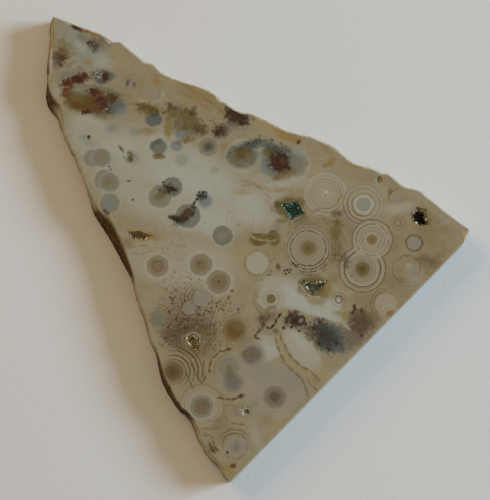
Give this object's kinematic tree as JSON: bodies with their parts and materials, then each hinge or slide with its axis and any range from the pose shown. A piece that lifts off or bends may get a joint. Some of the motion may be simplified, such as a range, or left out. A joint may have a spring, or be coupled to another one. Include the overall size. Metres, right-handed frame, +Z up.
{
  "type": "ocean jasper slab",
  "caption": "Thin polished slab of orbicular ocean jasper with a straight sawn side, natural rind sides and crystal-lined hollows, lying flat on its sawn foot",
  "frame": {"origin": "middle of the bounding box on the flat foot that the slab lies on", "axes": "+Z up out of the polished face, +Y towards the pointed natural tip, +X towards the corner where the sawn side meets the upper natural side"},
  "size_m": [0.0992, 0.1093, 0.005],
  "materials": {
    "polished_jasper": "polished translucent chalcedony, milky blue-white to tan, with ringed orbs, brown rind on the natural sides",
    "teal_crystals": "small glassy quartz points over dark blue-green",
    "grey_crystals": "small glassy quartz points, grey-green",
    "cream_crystals": "small glassy quartz points, cream over olive-brown"
  },
  "bodies": {
    "root": {"jasper_slab": "polished_jasper", "diamond_hollow_crystals": "teal_crystals", "triangle_hollow_crystals": "grey_crystals", "deep_hollow_crystals": "grey_crystals", "slit_hollow_crystals": "cream_crystals", "lower_hollow_crystals": "cream_crystals"}
  },
  "joints": []
}
